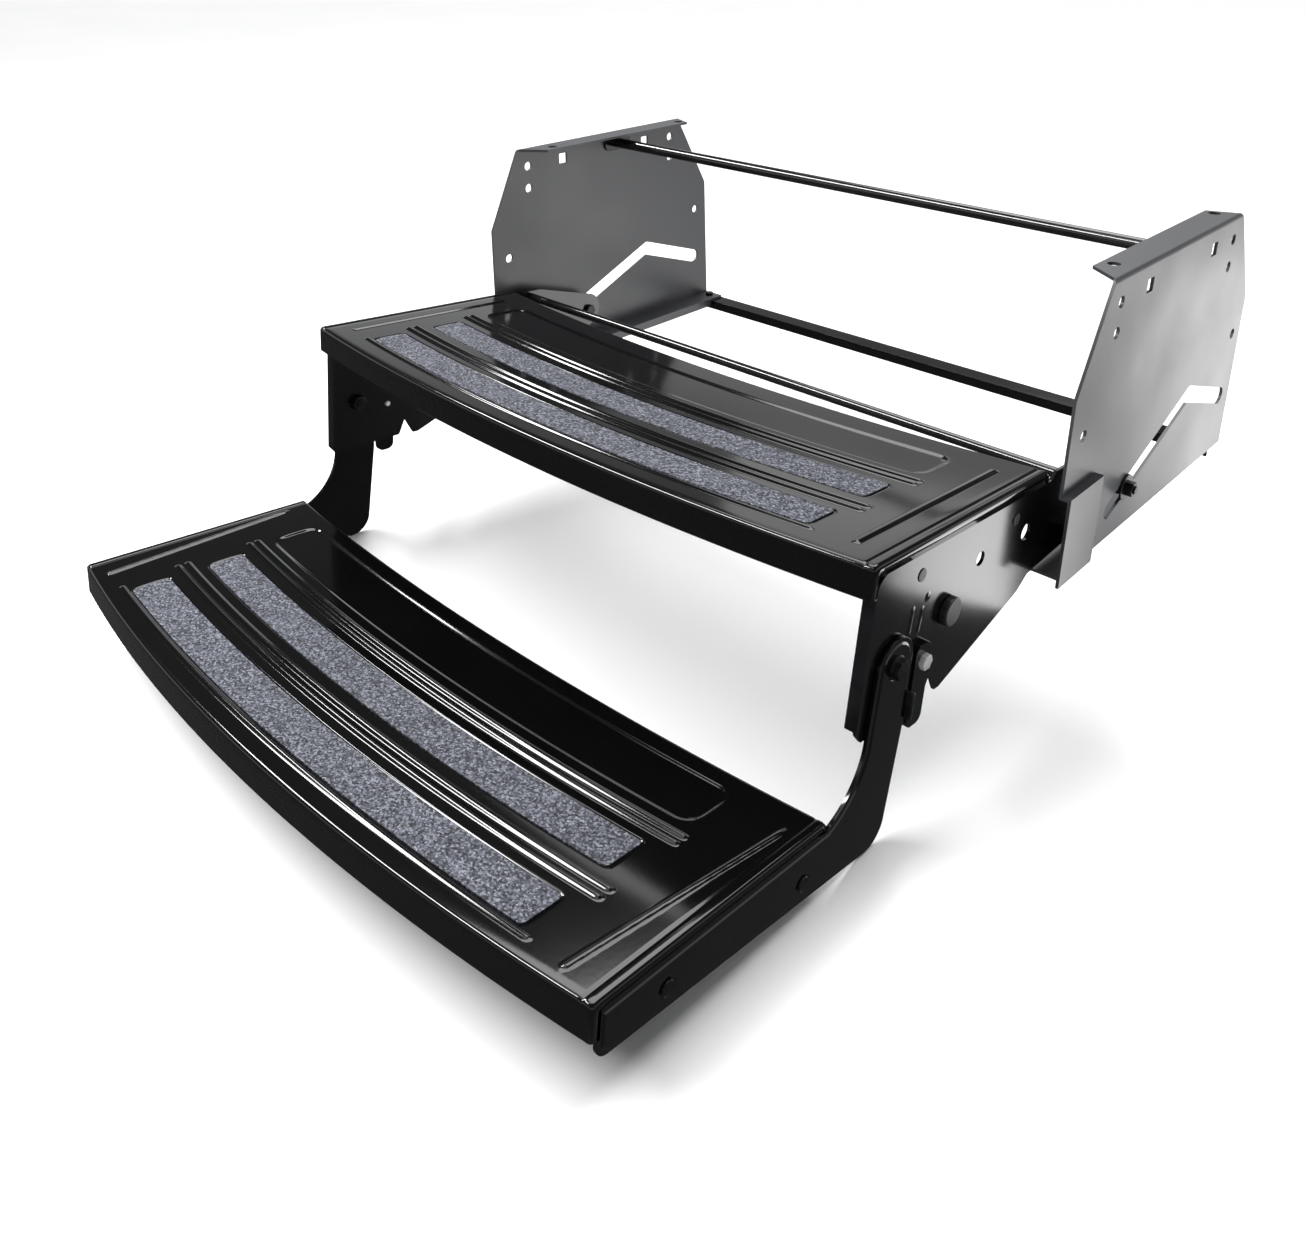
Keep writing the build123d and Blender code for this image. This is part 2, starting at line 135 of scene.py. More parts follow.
# a panel seen mirrored in an upright face: one edge runs through two points of the face, the other past a third
def mirrorBox(name, faceX, edgeStart, edgeEnd, farPoint, reach, glow):
    seen = Vector(camera["place"])
    seen.x = 2 * faceX - seen.x
    points = [Vector((faceX, y, z)) for y, z in (edgeStart, edgeEnd, farPoint)]
    centre = (points[0] + points[1] + points[2]) / 3
    ahead = (centre - seen).normalized()
    distance = (centre - seen).length + reach
    first, second, far = [seen + (p - seen) * (distance / (p - seen).dot(ahead)) for p in points]
    along = second - first
    across = (far - first) - along * ((far - first).dot(along) / along.length_squared)
    x, y = along.normalized(), across.normalized()
    if x.cross(y).dot(ahead) < 0:
        x = -x
    turned = Matrix((x, y, x.cross(y))).transposed().to_4x4()
    power = glow * pi * along.length * across.length
    lightPanel(name, (along.length, across.length), power, Matrix.Translation(first + along / 2 + across / 2) @ turned)


armLow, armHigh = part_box("upper_arm_right")
plateLow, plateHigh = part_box("housing_plate_right")
leftLow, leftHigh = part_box("housing_plate_left")
leftInnerX = leftHigh.x - 0.015  # behind the flange's inner edge, near the left plate's inner face
near, wide = studio["margin"], studio["wideMargin"]
softBox("keyBox", 10, 66, 2.4, (1.8, 1.2), studio["keyPower"])
softBox("rearGlow", 204, 27, 3.0, (1.1, 0.8), studio["rearPower"])
softBox("lineBox", -50, 48, 2.8, (3.1, 0.35), studio["linePower"])
mirrorBox("armBox", armHigh.x, (armLow.y + 0.03, armHigh.z - 0.015), (armLow.y + 0.23, armHigh.z - 0.13),
          (armLow.y + 0.20, armHigh.z + 0.06), studio["armReach"], studio["armGlow"])
mirrorBox("plateBox", plateHigh.x, (plateLow.y - wide, plateHigh.z + 0.06), (plateHigh.y + wide, plateHigh.z + 0.06),
          (plateLow.y - wide, plateLow.z - wide), studio["plateReach"], studio["plateGlow"])
mirrorBox("leftPlateBox", leftInnerX, (leftLow.y - near, leftHigh.z + 0.05), (leftHigh.y + near, leftHigh.z + 0.05),
          (leftLow.y - near, leftLow.z - near), studio["leftPlateReach"], studio["leftPlateGlow"])

sunLight = bpy.data.lights.new("softSun", "SUN")
sunLight.energy = studio["sun"]
sunLight.angle = radians(studio["sunAngle"])
sun = bpy.data.objects.new("softSun", sunLight)
scene.collection.objects.link(sun)
tiltX, tiltY = [radians(tilt) for tilt in studio["sunTilt"]]
sun.matrix_world = Matrix.Rotation(tiltX, 4, "X") @ Matrix.Rotation(tiltY, 4, "Y")

world = bpy.data.worlds.new("studio")
scene.world = world
world.use_nodes = True
skyTree = world.node_tree
skyTree.nodes.clear()
skyPlace = node(skyTree, "ShaderNodeTexCoord")
skyHeight = node(skyTree, "ShaderNodeSeparateXYZ", {0: skyPlace.outputs["Generated"]})
skyFade = node(skyTree, "ShaderNodeMapRange", {"Value": skyHeight.outputs["Z"]},
               in_From_Min=0.16, in_From_Max=0.38, in_To_Min=1.0, in_To_Max=0.10)
groundFade = node(skyTree, "ShaderNodeMapRange", {"Value": skyHeight.outputs["Z"]},
                  in_From_Min=-0.10, in_From_Max=-0.04, in_To_Min=studio["groundGlow"], in_To_Max=1.0)
skyStrength = node(skyTree, "ShaderNodeMath", {0: skyFade.outputs[0], 1: groundFade.outputs[0]},
                   operation="MULTIPLY")
skyGlow = node(skyTree, "ShaderNodeBackground", {"Strength": skyStrength.outputs[0]}, in_Color=linear("#f3f4f6"))
node(skyTree, "ShaderNodeOutputWorld", {"Surface": skyGlow.outputs[0]})
scene.view_settings.view_transform = "Standard"


# materials
def newMaterial(name, **surface):
    material = bpy.data.materials.new(name)
    material.use_nodes = True
    tree = material.node_tree
    shader = tree.nodes["Principled BSDF"]
    for key, value in surface.items():
        shader.inputs[key.replace("_", " ")].default_value = value
    coords = node(tree, "ShaderNodeTexCoord")
    return material, tree, shader, coords.outputs["Object"]


# gloss enamel: black paint dipped and baked on, a deep wet shine with faint orange peel and fine dust
def glossEnamel(name, tone, peel, roughLow, roughHigh, specular):
    material, tree, shader, place = newMaterial(name, Specular_IOR_Level=specular)
    wander = node(tree, "ShaderNodeTexNoise", {"Vector": place}, in_Scale=1000 / 140, in_Detail=3.0)
    dust = node(tree, "ShaderNodeTexNoise", {"Vector": place}, in_Scale=1000 / 1.2, in_Detail=2.0)
    colour = node(tree, "ShaderNodeValToRGB", {"Fac": wander.outputs["Fac"]}, stops=[(0.3, tone[0]), (0.7, tone[1])])
    tree.links.new(colour.outputs["Color"], shader.inputs["Base Color"])
    mix = node(tree, "ShaderNodeMath", {0: wander.outputs["Fac"], 1: dust.outputs["Fac"]}, operation="MULTIPLY")
    rough = node(tree, "ShaderNodeMapRange", {"Value": mix.outputs[0]}, in_From_Min=0.1, in_From_Max=0.5,
                 in_To_Min=roughLow, in_To_Max=roughHigh)
    tree.links.new(rough.outputs[0], shader.inputs["Roughness"])
    skin = node(tree, "ShaderNodeTexNoise", {"Vector": place}, in_Scale=1000 / 4.5, in_Detail=1.0)
    bump = node(tree, "ShaderNodeBump", {"Height": skin.outputs["Fac"]}, in_Strength=peel, in_Distance=0.0004)
    tree.links.new(bump.outputs[0], shader.inputs["Normal"])
    return material


blackEnamel = glossEnamel("blackBakedEnamel", ("#050506", "#080808"), 0.02, 0.09, 0.13, 0.5)
armEnamel = glossEnamel("blackArmEnamel", ("#08080a", "#0d0c0b"), 0.02, 0.14, 0.24, 0.5)


# satin powder coat on steel plate: fine even grain and a broad dull shine
def satinPowder():
    material, tree, shader, place = newMaterial("satinPowderCoat", Specular_IOR_Level=0.6)
    cloud = node(tree, "ShaderNodeTexNoise", {"Vector": place}, in_Scale=1000 / 90, in_Detail=4.0)
    grain = node(tree, "ShaderNodeTexNoise", {"Vector": place}, in_Scale=1000 / 0.9, in_Detail=1.0)
    colour = node(tree, "ShaderNodeValToRGB", {"Fac": cloud.outputs["Fac"]},
                  stops=[(0.3, "#2f3033"), (0.7, "#36373a")])
    tree.links.new(colour.outputs["Color"], shader.inputs["Base Color"])
    rough = node(tree, "ShaderNodeMapRange", {"Value": cloud.outputs["Fac"]}, in_From_Min=0.3, in_From_Max=0.7,
                 in_To_Min=0.34, in_To_Max=0.42)
    tree.links.new(rough.outputs[0], shader.inputs["Roughness"])
    bump = node(tree, "ShaderNodeBump", {"Height": grain.outputs["Fac"]}, in_Strength=0.12, in_Distance=0.0002)
    tree.links.new(bump.outputs[0], shader.inputs["Normal"])
    return material


housingPaint = satinPowder()


# mineral grit tape: blue-grey crushed mineral bonded on film; real grains are 0.5 mm, drawn at 1.6 mm to show
def gritTape():
    material, tree, shader, place = newMaterial("mineralGritTape", Roughness=0.85, Specular_IOR_Level=0.35)
    cells = node(tree, "ShaderNodeTexVoronoi", {"Vector": place}, in_Scale=1000 / 1.6)
    speck = node(tree, "ShaderNodeTexNoise", {"Vector": place}, in_Scale=1000 / 1.3, in_Detail=3.0, in_Roughness=0.7)
    pick = node(tree, "ShaderNodeSeparateColor", {"Color": cells.outputs["Color"]})
    blend = node(tree, "ShaderNodeMath", {0: pick.outputs["Red"], 1: speck.outputs["Fac"]}, operation="MULTIPLY")
    colour = node(tree, "ShaderNodeValToRGB", {"Fac": blend.outputs[0]},
                  stops=[(0.04, "#222327"), (0.2, "#3e4047"), (0.36, "#585a63"), (0.6, "#8d8f99")])
    tree.links.new(colour.outputs["Color"], shader.inputs["Base Color"])
    bump = node(tree, "ShaderNodeBump", {"Height": blend.outputs[0]}, in_Strength=0.7, in_Distance=0.0006)
    tree.links.new(bump.outputs[0], shader.inputs["Normal"])
    return material


gritBlueGrey = gritTape()


# simple finishes: one soft noise moves colour and roughness, a finer one gives the surface
def plainFinish(name, tones, rough, coarse, fine, bumpStrength, **surface):
    material, tree, shader, place = newMaterial(name, **surface)
    cloud = node(tree, "ShaderNodeTexNoise", {"Vector": place}, in_Scale=1000 / coarse, in_Detail=3.0)
    grain = node(tree, "ShaderNodeTexNoise", {"Vector": place}, in_Scale=1000 / fine, in_Detail=2.0)
    colour = node(tree, "ShaderNodeValToRGB", {"Fac": cloud.outputs["Fac"]},
                  stops=[(0.35, tones[0]), (0.65, tones[1])])
    tree.links.new(colour.outputs["Color"], shader.inputs["Base Color"])
    shine = node(tree, "ShaderNodeMapRange", {"Value": cloud.outputs["Fac"]}, in_From_Min=0.3, in_From_Max=0.7,
                 in_To_Min=rough[0], in_To_Max=rough[1])
    tree.links.new(shine.outputs[0], shader.inputs["Roughness"])
    bump = node(tree, "ShaderNodeBump", {"Height": grain.outputs["Fac"]}, in_Strength=bumpStrength,
                in_Distance=0.0003)
    tree.links.new(bump.outputs[0], shader.inputs["Normal"])
    return material


blackOxide = plainFinish("blackOxideSteel", ("#121214", "#1e1e20"), (0.24, 0.36), 12, 0.8, 0.15, Metallic=0.6)
brightZinc = plainFinish("brightZincPlate", ("#d2d4d6", "#e2e2dc"), (0.32, 0.46), 6, 0.6, 0.12, Metallic=0.7)
mouldedRubber = plainFinish("mouldedRubber", ("#101011", "#19191a"), (0.32, 0.45), 15, 0.7, 0.2)
mouldedNylon = plainFinish("mouldedNylon", ("#17171a", "#222225"), (0.38, 0.5), 20, 1.0, 0.15)
drawnRod = plainFinish("drawnRodEnamel", ("#0b0b0c", "#131314"), (0.12, 0.2), 60, 3.0, 0.06, Coat_Weight=0.4)
print("materials made")


# finished copies of the steel pieces: welded, edges broken, smooth shaded
def addPiece(mesh, name, body, material, nodes):
    piece = bpy.data.objects.new(name, mesh)
    scene.collection.objects.link(piece)
    mesh.materials.clear()
    mesh.materials.append(material)
    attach(piece, body)
    if nodes:
        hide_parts(*nodes)
    return piece


def meshFrom(bm, name, sharpAngle=35):
    mesh = bpy.data.meshes.new(name)
    bm.to_mesh(mesh)
    bm.free()
    mesh.shade_smooth()
    mesh.set_sharp_from_angle(angle=radians(sharpAngle))
    return mesh


def weldedCopy(nodeName):
    bm = bmesh.new()
    bm.from_mesh(frame["nodes"][nodeName].data)
    bmesh.ops.remove_doubles(bm, verts=bm.verts, dist=0.00002)
    bmesh.ops.dissolve_limit(bm, angle_limit=radians(1.0), verts=bm.verts, edges=bm.edges)
    return bm


def breakEdges(bm, width, segments, angle=30):
    edges = [edge for edge in bm.edges
             if len(edge.link_faces) == 2 and edge.calc_face_angle(0) > radians(angle)]
    bmesh.ops.bevel(bm, geom=edges, offset=width, affect="EDGES", segments=segments, profile=0.5,
                    material=-1, clamp_overlap=True)


def flatNormals(piece):  # large flat faces lead the shading, so bends and broken edges catch the light alone
    weighted = piece.modifiers.new("flatFaces", "WEIGHTED_NORMAL")
    weighted.mode = "FACE_AREA"
    weighted.weight = 80
    weighted.keep_sharp = True


def pressPanel(bm, outward, inset, slope, depth):  # the outer face stands proud inside a narrow margin
    outside = max(vert.co.x * outward for vert in bm.verts)
    faces = [face for face in bm.faces
             if face.normal.x * outward > 0.99 and face.calc_center_median().x * outward > outside - 0.0001]
    bmesh.ops.inset_region(bm, faces=faces, thickness=inset * mm, use_even_offset=True, use_boundary=True)
    bmesh.ops.inset_region(bm, faces=faces, thickness=slope * mm, depth=depth * mm, use_even_offset=True,
                           use_boundary=True)


legPress = dict(nodes={"leg_right": 1, "leg_left": -1}, margin=4.0, slope=1.6, height=1.1)  # mm


def steelCopy(nodeName, name, body, slotName, material, width=0.5, segments=2):
    bm = weldedCopy(nodeName)
    if nodeName in legPress["nodes"]:
        pressPanel(bm, legPress["nodes"][nodeName], legPress["margin"], legPress["slope"], legPress["height"])
    breakEdges(bm, width * mm, segments)
    piece = addPiece(meshFrom(bm, name), name, body, material, [nodeName])
    flatNormals(piece)
    return piece


steelPieces = [
    ("housing_plate_right", "rightHousingPlate", "housing", "housing_paint", housingPaint, 0.7, 2),
    ("housing_plate_left", "leftHousingPlate", "housing", "housing_paint", housingPaint, 0.7, 2),
    ("upper_cross_rod", "upperCrossRod", "housing", "gloss_black", drawnRod, 0.8, 2),
    ("rod_clip_right", "rightRodClip", "housing", "gloss_black", blackEnamel, 0.6, 2),
    ("rod_clip_left", "leftRodClip", "housing", "gloss_black", blackEnamel, 0.6, 2),
    ("rear_cross_bar", "rearCrossBar", "housing", "gloss_black", blackEnamel, 0.8, 2),
    ("cross_bar_bolts", "crossBarBolts", "housing", "black_fastener", blackOxide, 0.5, 2),
    ("cross_bar_nuts", "crossBarNuts", "housing", "black_fastener", blackOxide, 0.5, 2),
    ("guide_pads", "guidePads", "housing", "nylon", mouldedNylon, 1.2, 3),
    ("pad_screws", "padScrews", "housing", "black_fastener", blackOxide, 0.8, 3),
    ("upper_arm_right", "rightArm", "upper_step", "gloss_black", armEnamel, 0.6, 2),
    ("upper_arm_left", "leftArm", "upper_step", "gloss_black", armEnamel, 0.6, 2),
    ("tread_tie_rod", "treadTieRod", "upper_step", "gloss_black", drawnRod, 0.8, 2),
    ("guide_bolts", "guideBolts", "upper_step", "black_fastener", blackOxide, 0.6, 2),
    ("guide_spacers", "guideSpacers", "upper_step", "black_fastener", blackOxide, 0.6, 2),
    ("guide_washers", "guideWashers", "upper_step", "black_fastener", blackOxide, 0.5, 2),
    ("guide_nuts", "guideNuts", "upper_step", "black_fastener", blackOxide, 0.7, 2),
    ("hinge_bolts", "hingeBolts", "upper_step", "black_fastener", blackOxide, 0.6, 2),
    ("hinge_washers", "hingeWashers", "upper_step", "black_fastener", blackOxide, 0.2, 2),
    ("hinge_nuts", "hingeNuts", "upper_step", "black_fastener", blackOxide, 0.7, 2),
    ("upper_tread_screws", "upperTreadScrews", "upper_step", "black_fastener", blackOxide, 0.3, 2),
    ("stop_brackets", "stopBrackets", "upper_step", "gloss_black", blackEnamel, 1.2, 3),
    ("stop_bolts", "stopBolts", "upper_step", "zinc_plate", brightZinc, 0.6, 2),
    ("stop_bumpers", "stopBumpers", "upper_step", "rubber", mouldedRubber, 1.0, 3),
    ("side_buttons", "sideButtons", "upper_step", "rubber", mouldedRubber, 3.4, 5),
    ("leg_right", "rightLeg", "lower_step", "gloss_black", blackEnamel, 0.6, 2),
    ("leg_left", "leftLeg", "lower_step", "gloss_black", blackEnamel, 0.6, 2),
    ("lower_tread_screws", "lowerTreadScrews", "lower_step", "black_fastener", blackOxide, 0.8, 3),
]
for entry in steelPieces:
    steelCopy(*entry)
print("steel pieces finished")


# step frame: u runs back from the upper tread's front corner, w up from its top
stepFrame = dict(pitch=radians(5.3), hingeU=43.0, hingeW=-96.0)


def stepTurn(u, w):
    c, s = cos(stepFrame["pitch"]), sin(stepFrame["pitch"])
    return u * c + w * s, -u * s + w * c


hingePlace = joints["lower_step_fold"]["pos_m"]
hingeY, hingeZ = stepTurn(stepFrame["hingeU"], stepFrame["hingeW"])
frontY = hingePlace[1] - hingeY * mm
frontZ = hingePlace[2] - hingeZ * mm


def toWorld(x, u, w):
    y, z = stepTurn(u, w)
    return Vector((x * mm, frontY + y * mm, frontZ + z * mm))


def spread(start, end, fineZones, fine, coarse):
    places = [start]
    while places[-1] < end - 1e-6:
        here = places[-1]
        step = fine if any(low - 1e-6 <= here < high for low, high in fineZones) else coarse
        nextZone = min([low for low, high in fineZones if low > here + 1e-6] + [end])
        places.append(min(here + step, nextZone, end))
    return places


def smooth(t):
    t = min(1.0, max(0.0, t))
    return t * t * (3 - 2 * t)


def roundedBox(x, k, halfX, lowK, highK, radius):
    dx = abs(x) - halfX + radius
    dk = abs(k - (lowK + highK) / 2) - (highK - lowK) / 2 + radius
    return hypot(max(dx, 0), max(dk, 0)) + min(max(dx, dk), 0) - radius


def bead(distance, halfWidth, height):
    return height * cos(pi * distance / (2 * halfWidth)) ** 2 if distance < halfWidth else 0.0


# one pressed tread: ribs, pockets for the grit and a rear panel, all bowed forwards
upperTread = dict(
    name="upperTread", node="upper_tread", body="upper_step", halfWidth=356.0, frontU=0.0, depth=271.0,
    frontBow=28.0, ribBow=34.0, rearBow=31.0, ribZone=(30.0, 175.0), topW=0.0, rim=11.0, skirt=28.0,
    leadBead=27.0, pockets=[(32.0, 71.0), (108.0, 147.0)], pocketHalf=284.0,
    ribPairs=[(83.0, 93.0), (161.0, 170.0)], ribHalf=294.0, panel=(184.0, 238.0), panelHalf=287.0,
    sideBead=((324.0, 30.0), (324.0, 236.0)), flangeX=352.5)
lowerTread = dict(
    name="lowerTread", node="lower_tread", body="lower_step", halfWidth=359.5, frontU=-263.0, depth=239.0,
    frontBow=33.0, ribBow=27.0, rearBow=21.0, ribZone=(14.0, 160.0), topW=-199.5, rim=7.5, skirt=31.0,
    leadBead=15.5, pockets=[(20.0, 59.0), (96.0, 135.0)], pocketHalf=284.0,
    ribPairs=[(72.0, 82.0), (148.0, 157.0)], ribHalf=298.0, panel=(171.0, 220.0), panelHalf=292.0,
    sideBead=((326.0, 14.0), (343.0, 206.0)), flangeX=356.5)
pressing = dict(
    rollRadius=3.5, rollSteps=5, sheet=2.2, beadHalf=3.6, beadHeight=1.7, ribHalfWidth=4.2, ribHeight=2.2,
    pocketDepth=1.0, pocketCorner=6, pocketSlope=1.4, panelDepth=1.6, panelCorner=14, panelSlope=5,
    grooveIn=9.0, grooveHalf=2.4, groove=0.8, leadShort=6, fineRow=0.6, coarseRow=5.0, fineColumn=1.2,
    coarseColumn=9.0, ringReach=2.5, hem=1.2, hemReturn=7.0, cornerRadius=2.5)
sideFlange = dict(thick=0.4, drop=42.0, inset=30.0, top=2.4, setIn=1.3)


def bowAt(tread, k):
    low, high = tread["ribZone"]
    if k < low:
        return tread["frontBow"] + (tread["ribBow"] - tread["frontBow"]) * max(0.0, k) / low
    if k > high:
        return tread["ribBow"] + (tread["rearBow"] - tread["ribBow"]) * (k - high) / (tread["depth"] - high)
    return tread["ribBow"]


def bowShape(x, halfWidth, bow):
    radius = (halfWidth ** 2 + bow ** 2) / (2 * bow)
    return sqrt(radius ** 2 - x ** 2) - radius + bow


def treadPoint(tread, x, k):
    return tread["frontU"] + k - bowShape(x, tread["halfWidth"], bowAt(tread, k))


def treadHeight(tread, x, k):
    height = 0.0
    out = max(0.0, abs(x) - tread["ribHalf"] + pressing["leadShort"])
    height += bead(hypot(out, k - tread["leadBead"]), pressing["beadHalf"], pressing["beadHeight"])
    out = max(0.0, abs(x) - tread["ribHalf"])
    for pair in tread["ribPairs"]:
        for centre in pair:
            height += bead(hypot(out, k - centre), pressing["ribHalfWidth"], pressing["ribHeight"])
    for low, high in tread["pockets"]:
        inside = -roundedBox(x, k, tread["pocketHalf"], low, high, pressing["pocketCorner"])
        height -= pressing["pocketDepth"] * smooth(inside / pressing["pocketSlope"] + 0.5)
    inside = -roundedBox(x, k, tread["panelHalf"], *tread["panel"], pressing["panelCorner"])
    height -= pressing["panelDepth"] * smooth(inside / pressing["panelSlope"] + 0.5)
    beside = abs(abs(x) - tread["halfWidth"] + pressing["grooveIn"])
    height -= bead(beside, pressing["grooveHalf"], pressing["groove"])
    (x0, k0), (x1, k1) = tread["sideBead"]
    t = min(1.0, max(0.0, (k - k0) / (k1 - k0)))
    beside = hypot(abs(x) - x0 - (x1 - x0) * t, k - k0 - (k1 - k0) * t)
    return height + bead(beside, pressing["beadHalf"], pressing["beadHeight"])


def pressTread(tread):
    roll = pressing["rollRadius"]
    half, depth = tread["halfWidth"], tread["depth"]
    zones = [(tread["leadBead"] - 4.5, tread["leadBead"] + 4.5)]
    zones += [(pair[0] - 5.2, pair[1] + 5.2) for pair in tread["ribPairs"]]
    zones += [(edge - 1.6, edge + 1.6) for pocket in tread["pockets"] for edge in pocket]
    zones += [(edge - 4, edge + 4) for edge in tread["panel"]]
    rows = spread(roll, depth - roll, sorted(zones), pressing["fineRow"], pressing["coarseRow"])
    sideLow = min(tread["sideBead"][0][0], tread["sideBead"][1][0]) - 5
    sideHigh = max(tread["sideBead"][0][0], tread["sideBead"][1][0]) + 5
    groove = half - pressing["grooveIn"]
    ends = (272, 304)  # the pockets, ribs and panel all end here
    halfColumns = spread(0, half - roll, [ends, (sideLow, sideHigh), (groove - 3, groove + 3)],
                         pressing["fineColumn"], pressing["coarseColumn"])
    columns = [-x for x in reversed(halfColumns[1:])] + halfColumns
    bm = bmesh.new()
    bmesh.ops.create_grid(bm, x_segments=len(columns) - 1, y_segments=len(rows) - 1, size=1.0)
    for vert in bm.verts:
        i = round((vert.co.x + 1) / 2 * (len(columns) - 1))
        j = round((vert.co.y + 1) / 2 * (len(rows) - 1))
        x, k = columns[i], rows[j]
        vert.co = (x, treadPoint(tread, x, k), tread["topW"] + treadHeight(tread, x, k))
    rollEdges(bm, tread)
    bmesh.ops.recalc_face_normals(bm, faces=bm.faces)
    if sum(face.normal.z * face.calc_area() for face in bm.faces) < 0:
        bmesh.ops.reverse_faces(bm, faces=bm.faces)
    addSideFlanges(bm, tread)
    for vert in bm.verts:
        vert.co = toWorld(*vert.co)
    mesh = meshFrom(bm, tread["name"], 40)
    piece = addPiece(mesh, tread["name"], tread["body"], blackEnamel, [tread["node"]])
    wall = piece.modifiers.new("sheetThickness", "SOLIDIFY")
    wall.thickness = pressing["sheet"] * mm
    wall.offset = -1


def rollEdges(bm, tread):
    roll, steps = pressing["rollRadius"], pressing["rollSteps"]
    front, rear = tread["frontU"], tread["frontU"] + tread["depth"]
    half = tread["halfWidth"]
    rim = [edge for edge in bm.edges if edge.is_boundary]
    side = {}
    for vert in {v for edge in rim for v in edge.verts}:
        x, u = vert.co.x, vert.co.y
        frontHere = front - bowShape(x, half, tread["frontBow"]) + roll
        rearHere = rear - bowShape(x, half, tread["rearBow"]) - roll
        push = Vector((0, 0, 0))
        if abs(abs(x) - (half - roll)) < 0.01:
            push.x = 1 if x > 0 else -1
        if abs(u - frontHere) < pressing["ringReach"]:
            push.y = -1
        if abs(u - rearHere) < pressing["ringReach"]:
            push.y = 1
        side[vert] = push
    ring = {vert: vert for vert in side}
    start = {vert: vert.co.copy() for vert in side}
    for step in range(1, steps + 1):
        angle = pi / 2 * step / steps
        ring, rim = extrudeRing(bm, rim, ring)
        for first, last in ring.items():
            last.co = start[first] + side[first] * roll * sin(angle) + Vector((0, 0, -roll * (1 - cos(angle))))
    ring, rim = extrudeRing(bm, rim, ring)
    for first, last in ring.items():
        last.co.z = tread["topW"] - tread["rim"]
    frontRing = {first: last for first, last in ring.items()
                 if side[first].y < 0 or start[first].y < front + 10}
    lowVerts = set(frontRing.values())
    frontRim = [edge for edge in rim if all(vert in lowVerts for vert in edge.verts)]
    frontRing, frontRim = extrudeRing(bm, frontRim, frontRing)
    for last in frontRing.values():
        last.co.z = tread["topW"] - tread["skirt"] + pressing["hem"]
    frontRing, frontRim = extrudeRing(bm, frontRim, frontRing)
    for last in frontRing.values():
        last.co.z = tread["topW"] - tread["skirt"]
        last.co.y += pressing["hem"] if last.co.y < front + 2 else 0
    frontRing, frontRim = extrudeRing(bm, frontRim, frontRing)
    for first, last in frontRing.items():
        last.co.y += pressing["hemReturn"] * (side[first].y < 0)
        last.co.x -= pressing["hemReturn"] * side[first].x
    corners = [edge for edge in bm.edges
               if all(abs(abs(v.co.x) - half) < 4 and v.co.z < tread["topW"] - 0.2 for v in edge.verts)
               and abs(edge.verts[0].co.z - edge.verts[1].co.z) > 0.3
               and edge.calc_face_angle(0) > radians(50)]
    if corners:
        bmesh.ops.bevel(bm, geom=corners, offset=pressing["cornerRadius"], affect="EDGES", segments=3,
                        profile=0.5, material=-1)


def extrudeRing(bm, edges, ring):
    made = bmesh.ops.extrude_edge_only(bm, edges=edges)
    newEdges = [item for item in made["geom"] if isinstance(item, bmesh.types.BMEdge)]
    newVerts = [item for item in made["geom"] if isinstance(item, bmesh.types.BMVert)]
    fresh = set(newVerts)
    owner = {last: first for first, last in ring.items()}
    follow = {}
    for vert in newVerts:
        for edge in vert.link_edges:
            other = edge.other_vert(vert)
            if other not in fresh and other in owner:
                follow[owner[other]] = vert
    rim = [edge for edge in newEdges if all(v in fresh for v in edge.verts)]
    return follow, rim


def addSideFlanges(bm, tread):
    thick, top = sideFlange["thick"], sideFlange["top"]
    height, length = sideFlange["drop"] - top, tread["depth"] - 2 * sideFlange["inset"]
    for sideSign in (-1, 1):
        made = bmesh.ops.create_cube(bm, size=1.0)
        for vert in made["verts"]:
            vert.co.x = sideSign * (tread["flangeX"] - sideFlange["setIn"] + vert.co.x * thick)
            vert.co.y = tread["frontU"] + tread["depth"] / 2 + vert.co.y * length
            vert.co.z = tread["topW"] - top - height / 2 + vert.co.z * height


pressTread(upperTread)
pressTread(lowerTread)
print("treads pressed")


# grit strips: tape with rounded corners in each pocket, its grains standing unevenly
grit = dict(half=282.0, corner=4.0, inset=1.2, lift=0.15, rough=0.12, seed=11, column=2.6, row=1.9)


